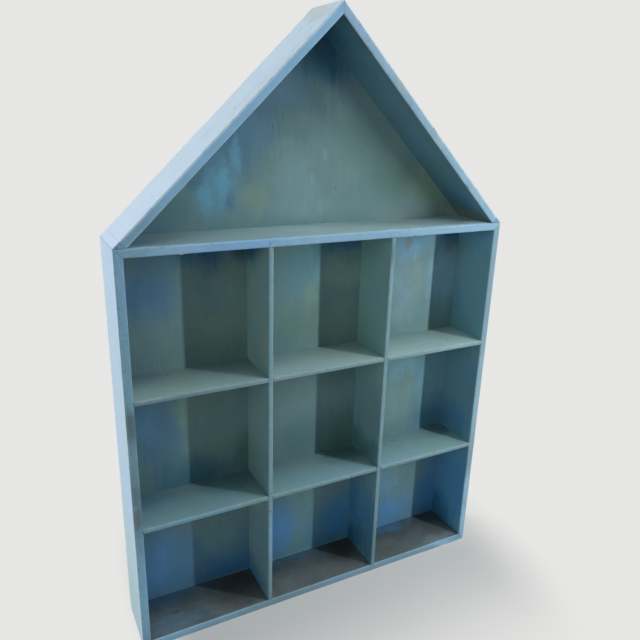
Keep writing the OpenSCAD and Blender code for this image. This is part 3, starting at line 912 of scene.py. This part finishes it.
inside = {
    # The Y fades of the three uprights, paler towards the back, are painted light.
    "left_divider": paint(
        "left_divider_paint", (0.205, 0.325, 0.295), (0.185, 0.305, 0.31), ALONG_Z,
        fades=[("Y", -24, 26.5, grey(1.0), grey(1.30))],
        stains_and_shade=on_upright(
            # NIGHT at the top back is painted shade under the attic board. The pale patches at the
            # back, under the lower shelf and over the upper shelf, are painted light.
            "left_divider", (SLATE, -10, 165, 60, 40, 0.5), (NIGHT, 16, 388, 42, 26, 1.0),
            (DENIM, -20, 60, 60, 90, 0.5), ((0.27, 0.43, 0.43), 14, 120, 40, 24, 0.9),
            (INK, 10, 12, 60, 34, 0.8), ((0.30, 0.41, 0.34), 24, 278, 30, 22, 0.7))),
    "right_divider": paint(
        "right_divider_paint", (0.20, 0.35, 0.33), (0.185, 0.335, 0.345), ALONG_Z,
        fades=[("Y", -24, 26.5, grey(1.02), grey(1.28))],
        stains_and_shade=on_upright(
            "right_divider", (SLATE, -10, 180, 60, 80, 0.75), (MOSS, 10, 145, 60, 30, 0.7),
            (INK, 0, 66, 80, 76, 0.9), (NIGHT, 10, 18, 80, 50, 0.95),
            # The pale patch at the back just under the lower shelf, first on the next line, is painted
            # light.
            ((0.20, 0.35, 0.37), 14, 122, 40, 16, 0.6), ((0.25, 0.42, 0.37), 24, 330, 24, 60, 0.6),
            ((0.06, 0.155, 0.175), -6, 148, 50, 24, 0.7), ((0.02, 0.10, 0.18), 22, 12, 26, 34, 0.8))),
    "right_side": paint(
        "right_inner_paint", (0.14, 0.31, 0.36), (0.125, 0.30, 0.41), ALONG_Z,
        fades=[("Y", -24, 26.5, grey(1.04), (1.30, 1.16, 1.08))],
        stains_and_shade=on_upright(
            "right_side", (DENIM, -14, 196, 50, 70, 0.5), (INK, 10, 156, 60, 30, 0.7),
            ((0.07, 0.26, 0.49), -6, 66, 80, 90, 0.9), ((0.02, 0.13, 0.27), 24, 14, 56, 44, 0.9),
            # The pale blue patch at the back just under the lower shelf, first on the next line, is
            # painted light.
            ((0.13, 0.36, 0.52), 16, 120, 40, 26, 0.95), (SKY, 20, 340, 60, 60, 0.3),
            ((0.13, 0.33, 0.47), -10, 384, 80, 24, 0.7))),
    "left_side": paint("left_inner_paint", (0.16, 0.29, 0.31), (0.13, 0.27, 0.37), ALONG_Z),
    "upper_shelf": paint(
        "upper_shelf_paint", (0.26, 0.375, 0.36), (0.24, 0.36, 0.375), ALONG_X, chalk=0.15,
        fades=[("Y", -26, 22, grey(0.99), grey(1.0)), ("X", -190, 140, grey(0.90), grey(1.19))],
        stains_and_shade=on_level(
            # Both dark patches at the back are painted shade: one in the left divider's shadow, one in
            # the left corner.
            "upper_shelf", ((0.18, 0.29, 0.29), -84, 18, 44, 22, 0.6),
            ((0.18, 0.29, 0.31), -180, 18, 40, 26, 0.6), ((0.34, 0.48, 0.50), 188, 4, 22, 34, 0.7)),
        marks=on_level(
            "upper_shelf", (DARK, 158, -12, 1.8, 1.4, 0.9), (DARK, 152, 14, 1.2, 1.0, 0.6),
            (DARK, -152, 17, 2.2, 1.6, 0.8), (DARK, -88, 22, 3, 1.6, 0.5),
            (DARK, -160, 4, 3, 1.6, 0.4), (DARK, -185, 25, 8, 2, 0.5))),
    "lower_shelf": paint(
        "lower_shelf_paint", (0.175, 0.295, 0.30), (0.165, 0.29, 0.33), ALONG_X, chalk=0.15,
        # The first fade, a little lighter towards the back, is painted light.
        fades=[("Y", -26, 22, grey(0.98), grey(1.04)), ("X", -190, 140, grey(0.95), grey(1.16))],
        stains_and_shade=on_level(
            "lower_shelf", (DENIM, -182, 14, 50, 26, 0.6),
            # The next three dark patches, in the partitions' shadows, are painted shadow.
            ((0.10, 0.205, 0.215), -92, 14, 52, 32, 0.9),
            ((0.075, 0.155, 0.145), 44, 14, 40, 30, 0.95),
            ((0.08, 0.175, 0.18), 182, 18, 32, 28, 0.95)),
        marks=on_level(
            "lower_shelf", (DARK, 112, 14, 7, 1.8, 0.55), (DARK, 120, 10, 4, 1.2, 0.4),
            (DARK, 150, 6, 5, 1.2, 0.4), (DARK, -170, 12, 4, 1.5, 0.3))),
    "attic_board": paint(
        "attic_floor_paint", (0.31, 0.43, 0.42), (0.30, 0.43, 0.46), ALONG_X, chalk=0.15,
        # The second fade, lighter towards the back, is painted light on the attic floor.
        fades=[("X", -200, 20, grey(0.74), grey(1.06)), ("Y", -26, 22, grey(0.95), grey(1.24))],
        stains_and_shade=on_level(
            "attic_board", ((0.24, 0.39, 0.50), -60, -28, 150, 10, 0.6),
            ((0.25, 0.43, 0.54), -180, 0, 40, 40, 0.7), ((0.22, 0.32, 0.33), 150, 22, 60, 18, 0.6),
            ((0.55, 0.70, 0.74), 184, -24, 30, 18, 0.9),
            ((0.36, 0.55, 0.65), -184, -24, 30, 16, 0.9))),
    "base_board": paint(
        "base_floor_paint", (0.105, 0.13, 0.135), (0.085, 0.105, 0.11), ALONG_X, streak=0.1,
        mottle=0.30, chalk=0.5, fades=[("Y", -8, 24, grey(1.04), (0.82, 0.94, 0.98))],
        stains_and_shade=on_level(
            "base_board", ((0.10, 0.165, 0.215), -160, -12, 50, 26, 0.8),
            ((0.065, 0.135, 0.21), -165, 22, 50, 16, 0.9), ((0.07, 0.16, 0.26), -20, 24, 60, 9, 0.8),
            ((0.10, 0.21, 0.33), 118, 22, 60, 12, 0.9), ((0.12, 0.19, 0.23), 150, -27, 20, 5, 0.7),
            # The near-black patches at -86, 44 and 178 across sit in the partitions' shadows and are
            # painted shadow.
            ((0.14, 0.165, 0.16), 96, 0, 40, 20, 0.6), ((0.048, 0.053, 0.05), -86, 6, 44, 40, 0.95),
            ((0.045, 0.047, 0.042), 44, 10, 42, 36, 0.95),
            ((0.13, 0.15, 0.145), -24, -12, 30, 12, 0.4), ((0.06, 0.07, 0.07), 178, 16, 36, 30, 0.8),
            ((0.16, 0.20, 0.21), 168, -24, 40, 14, 0.7)),
        marks=on_level(
            "base_board", (DARK, -160, -2, 6, 3, 0.6), (DARK, -120, 6, 4, 3, 0.5),
            (DARK, 10, 2, 5, 2, 0.4), (DARK, 120, -4, 5, 2, 0.4), (DARK, 60, -20, 3, 1.5, 0.5))),
    "roof": paint(
        "roof_lining_paint", (0.105, 0.215, 0.255), (0.11, 0.235, 0.30), ALONG_X, turn=-ROOF_PITCH,
        # Darker towards the ridge, and night blue under it at the back: dark paint deepened as painted
        # shade in the peak.
        fades=[("Z", 520, 590, grey(1.0), (0.6, 0.75, 0.8)), ("Y", -27, -10, grey(1.04), grey(1.06))],
        stains_and_shade=[
            (NIGHT, (10, 22, 578), (50, 34, 36), 0.7),
            ((0.08, 0.22, 0.34), (162, -4, 430), (34, 30, 30), 0.6),
            ((0.13, 0.165, 0.165), (18, -27, 568), (20, 7, 20), 0.9),
            ((0.07, 0.09, 0.085), (6, -29, 580), (7, 6, 7), 0.9),
            ((0.27, 0.33, 0.26), (190, 6, 408), (22, 40, 16), 0.9)]),
    "under": paint("underside_paint", (0.14, 0.25, 0.27), (0.12, 0.23, 0.30), ALONG_X),
}
print("paints inside:", len(inside))

# %% [markdown]
# The front edges are handled most. Each board's edge has its own mix, brushed along its length: the
# roof and the right side are the lightest, and the left side has a stretch in the middle that is
# knocked back to a dark slate. The outer faces have a much paler, almost white-blue coat, partly paint
# and partly painted light from the window on the left. On the roof boards and the sides' outer faces,
# the near-white rubbed edges are partly wear and partly a painted highlight along the arris.

# %% Paint on the fronts and outside
DARK_WOOD = (0.10, 0.16, 0.18)
GREYED = (0.27, 0.36, 0.40)
# Pale edge colour: partly wear and partly a painted highlight along the arris.
PALE_WEAR_AND_HIGHLIGHT = (0.52, 0.64, 0.73)
# The outer coats are paler than the fronts: partly paint and partly painted light from the window on
# the left.
SIDE_PALE, SIDE_BLUE = (0.325, 0.44, 0.51), (0.33, 0.435, 0.56)
ROOF_PALE, ROOF_BLUE = (0.425, 0.53, 0.61), (0.425, 0.525, 0.655)
# Near-white roof edge: partly wear and partly a painted highlight along the arris.
ROOF_WEAR_AND_HIGHLIGHT = (0.70, 0.76, 0.80)
FRONT_DEPTH = 14


def on_front(*stains_and_shade):
    """Stains on a front edge: colour, place across and up, half sizes and strength."""
    return [(colour, (x, FRONT_Y, z), (half_x, FRONT_DEPTH, half_z), strength)
            for colour, x, z, half_x, half_z, strength in stains_and_shade]


fronts = {
    "left_side": paint(
        "left_front_paint", (0.17, 0.325, 0.41), (0.175, 0.33, 0.46), ALONG_Z, mottle=0.2,
        stains_and_shade=on_front(
            ((0.14, 0.245, 0.30), -196, 180, 20, 80, 0.8), (DARK_WOOD, -196, 246, 20, 22, 1.0),
            (DARK_WOOD, -196, 150, 20, 24, 0.9), (DARK_WOOD, -196, 176, 20, 14, 0.6),
            ((0.22, 0.42, 0.60), -196, 66, 20, 60, 0.9))),
    "right_side": paint(
        "right_front_paint", (0.20, 0.325, 0.40), (0.205, 0.33, 0.42), ALONG_Z,
        stains_and_shade=on_front(
            ((0.30, 0.48, 0.58), 196, 190, 16, 120, 0.8), ((0.34, 0.57, 0.76), 196, 40, 16, 90, 0.9))),
    "attic_board": paint(
        "attic_front_paint", (0.22, 0.39, 0.53), (0.235, 0.405, 0.56), ALONG_X,
        stains_and_shade=on_front(
            ((0.165, 0.32, 0.42), -196, 400, 60, 16, 0.9),
            ((0.19, 0.38, 0.62), -90, 397, 66, 10, 0.8), ((0.25, 0.42, 0.54), 130, 397, 60, 10, 0.5)),
        marks=on_front((DARK, -66, 397, 1.2, 1.6, 0.7))),
    "base_board": paint(
        "base_front_paint", (0.205, 0.345, 0.42), (0.21, 0.35, 0.46), ALONG_X,
        stains_and_shade=on_front(
            ((0.245, 0.44, 0.60), -150, 4, 80, 12, 0.8), ((0.18, 0.29, 0.34), -50, 4, 70, 12, 0.7),
            ((0.29, 0.50, 0.68), 176, 4, 60, 12, 0.9))),
    "upper_shelf": paint(
        "upper_edge_paint", (0.185, 0.295, 0.315), (0.19, 0.30, 0.335), ALONG_X,
        stains_and_shade=on_front(
            ((0.12, 0.22, 0.24), -165, 266, 110, 12, 0.8),
            ((0.25, 0.395, 0.455), 150, 266, 90, 12, 0.8))),
    "lower_shelf": paint(
        "lower_edge_paint", (0.16, 0.275, 0.30), (0.165, 0.28, 0.32), ALONG_X,
        stains_and_shade=on_front(
            ((0.14, 0.31, 0.42), -145, 136, 60, 12, 0.8),
            ((0.205, 0.335, 0.38), 140, 136, 90, 12, 0.8))),
    "divider": paint(
        "divider_edge_paint", (0.18, 0.31, 0.345), (0.19, 0.325, 0.38), ALONG_Z,
        stains_and_shade=on_front(
            ((0.20, 0.385, 0.57), -65, 92, 12, 50, 0.8), ((0.15, 0.25, 0.29), -65, 10, 12, 20, 0.8),
            ((0.14, 0.235, 0.265), 65, 40, 12, 60, 0.8), ((0.11, 0.195, 0.22), 65, 378, 12, 28, 0.9)),
        marks=on_front(
            (DARK, -65, 141, 2.4, 0.9, 0.9), (DARK, -65, 120, 2.4, 0.8, 0.8),
            (DARK, -65, 262, 3, 0.5, 0.6), (DARK, 65, 133, 3, 0.5, 0.6))),
    "left_roof_board": paint(
        "left_roof_front_paint", (0.205, 0.385, 0.55), (0.215, 0.40, 0.60), ALONG_X, turn=ROOF_PITCH,
        # Its pale edges are partly wear and partly a painted highlight along the arris.
        edge_wear_and_highlight=PALE_WEAR_AND_HIGHLIGHT, wear_and_highlight_at=0.7, chips=0.1,
        stains_and_shade=on_front(((0.16, 0.32, 0.43), -190, 412, 50, 40, 0.9))),
    "right_roof_board": paint(
        "right_roof_front_paint", (0.22, 0.37, 0.475), (0.23, 0.395, 0.53), ALONG_X, turn=-ROOF_PITCH,
        edge_wear_and_highlight=PALE_WEAR_AND_HIGHLIGHT, wear_and_highlight_at=0.5, mottle=0.22, chips=0.5,
        marks=on_front(
            (RUST, 16, 579, 2.5, 1.5, 0.7), (RUST, 25, 567, 2, 1.2, 0.6),
            (RUST, 34, 562, 1.6, 1.2, 0.5)),
        stains_and_shade=on_front(
            ((0.235, 0.36, 0.53), 18, 577, 18, 20, 0.8), (GREYED, 60, 540, 14, 20, 0.7),
            (GREYED, 112, 490, 14, 18, 0.7), (GREYED, 165, 438, 14, 16, 0.6),
            ((0.20, 0.31, 0.38), 100, 500, 20, 24, 0.4))),
    "wedge": paint(
        "wedge_paint", (0.165, 0.31, 0.39), (0.145, 0.275, 0.335), ALONG_X, mottle=0.25,
        marks=on_front((DARK, -197, 403, 2, 1, 0.5))),
}
roof_marks = [
    (DARK, (-89.5, -8.5, 509.5), (2.4, 1.3, 2.6), 0.8), (GREYED, (-68, -17, 530), (7, 2, 7), 0.6),
    (DARK, (-162, -9.5, 438.5), (3, 2, 3), 0.3), (GREYED, (-110, 1.5, 489.6), (11, 1.8, 11), 0.6),
    (RUST, (-10, -23.5, 587), (6, 2.5, 6), 0.4), (GREYED, (-3, 29.5, 594), (10, 6, 10), 0.6),
    (BROWNED, (-6, -18, 591), (14, 1.5, 14), 0.45), (BROWNED, (-12, -9, 586), (12, 1.2, 12), 0.4),
    (GREYED, (-24, -14, 574), (12, 1.6, 12), 0.6), (GREYED, (-96, -20, 503), (6, 2, 6), 0.5),
    (GREYED, (-70, -8, 528), (8, 1.4, 8), 0.4), (GREYED, (-22, 8.5, 575), (6, 3, 6), 0.5),
    (GREYED, (-40, -20, 556), (10, 3, 10), 0.4), (GREYED, (-30, -26, 567), (9, 2, 9), 0.6),
    (RUST, (-48, -24, 550), (4, 1.6, 4), 0.4), (GREYED, (-84, -25, 515), (12, 2, 12), 0.5),
    (GREYED, (-14, 2, 583), (8, 5, 8), 0.4), (GREYED, (-132, 6, 468), (9, 1.6, 9), 0.3),
    (RUST, (-60, 12, 538), (5, 1.2, 5), 0.3),
]
outer = {
    "side": paint(
        "side_outer_paint", SIDE_PALE, SIDE_BLUE, ALONG_Z, streak=0.04, mottle=0.06, chalk=0.1,
        # The near-white rubbed edge is partly wear and partly a painted highlight along the arris.
        edge_wear_and_highlight=(0.62, 0.70, 0.76), fades=[("Z", 110, 10, grey(1.0), grey(0.93))],
        stains_and_shade=[((0.31, 0.44, 0.455), (-200, 0, 60), (20, 70, 110), 0.8)]),
    "left_roof": paint(
        "left_roof_outer_paint", ROOF_PALE, ROOF_BLUE, ALONG_X, turn=ROOF_PITCH, streak=0.04,
        mottle=0.07, chalk=0.1, edge_wear_and_highlight=ROOF_WEAR_AND_HIGHLIGHT, marks=roof_marks,
        stains_and_shade=[
            ((0.41, 0.455, 0.46), (-8, 4, 590), (20, 34, 17), 0.8),
            ((0.40, 0.47, 0.50), (-60, -18, 538), (60, 12, 60), 0.4)]),
    "right_roof": paint(
        "right_roof_outer_paint", ROOF_PALE, ROOF_BLUE, ALONG_X, turn=-ROOF_PITCH, streak=0.04,
        mottle=0.07, chalk=0.1, edge_wear_and_highlight=ROOF_WEAR_AND_HIGHLIGHT),
}
print("paints mixed:", 1 + len(inside) + len(fronts) + len(outer))

# %% [markdown]
# Each board takes three paints, one for each kind of face that was marked when it was made: inside,
# front and outside. The back panel stays as it was built, and only gets a paint.

# %% Hand out the paints
coats = {
    "left_side": (inside["left_side"], fronts["left_side"], outer["side"]),
    "right_side": (inside["right_side"], fronts["right_side"], outer["side"]),
    "base_board": (inside["base_board"], fronts["base_board"], outer["side"]),
    "attic_board": (inside["under"], fronts["attic_board"], inside["attic_board"]),
    "left_roof_board": (inside["roof"], fronts["left_roof_board"], outer["left_roof"]),
    "right_roof_board": (inside["roof"], fronts["right_roof_board"], outer["right_roof"]),
    "left_eave_fillet": (inside["under"], fronts["wedge"], outer["left_roof"]),
    "right_eave_fillet": (inside["under"], fronts["wedge"], outer["right_roof"]),
    "left_divider": (inside["left_divider"], fronts["divider"], inside["under"]),
    "right_divider": (inside["right_divider"], fronts["divider"], inside["under"]),
    "upper_shelf": (inside["under"], fronts["upper_shelf"], inside["upper_shelf"]),
    "lower_shelf": (inside["under"], fronts["lower_shelf"], inside["lower_shelf"]),
}
for name, coat in coats.items():
    for material in coat:
        pieces[name].data.materials.append(material)


def cover(node, material):
    """Give every material slot of a CAD node the same material."""
    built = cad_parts[node]
    if not built.data.materials:
        built.data.materials.append(material)
    for slot in built.material_slots:
        slot.material = material


cover("back_panel", panel_paint)
print("boards painted:", len(coats))

# %% [markdown]
# The brads and staples are drawn wire, left bare. One fine noise makes the whole metal: it turns the
# grey lighter and darker, it roughens the gloss, and it lifts a shallow relief.

# %% Bare wire
WIRE_DULL, WIRE_BRIGHT = (0.30, 0.31, 0.31), (0.50, 0.50, 0.49)
WIRE_DEPTH = 0.0001
WIRE_FLECKS = 900.0

wire, wire_tree = new_material("drawn_wire")
wire_place = put(wire_tree, "ShaderNodeTexCoord")["Object"]
wire_noise = cloud(wire_tree, wire_place, WIRE_FLECKS, detail=4.0)
wire_colour = blend(wire_tree, wire_noise, WIRE_DULL, WIRE_BRIGHT)
wire_gloss = maths(wire_tree, "MULTIPLY_ADD", wire_noise, 0.3, 0.25)
wire_shader = join_shader(wire_tree, wire_colour, wire_gloss, wire_noise, WIRE_DEPTH)
wire_shader.inputs["Metallic"].default_value = 1.0
fasteners = ("box_corner_brads", "ridge_brads", "eave_brads", "divider_brads", "shelf_brads",
             "panel_staples")
for node in fasteners:
    cover(node, wire)
print("nodes in bare wire:", len(fasteners))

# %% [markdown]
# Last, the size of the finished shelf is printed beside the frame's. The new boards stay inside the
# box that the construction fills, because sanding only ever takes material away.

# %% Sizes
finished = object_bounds()
for label, box in (("frame", cad_box), ("finished", finished)):
    print(label, [round((high - low) / MM, 2) for low, high in zip(*box)], "mm")
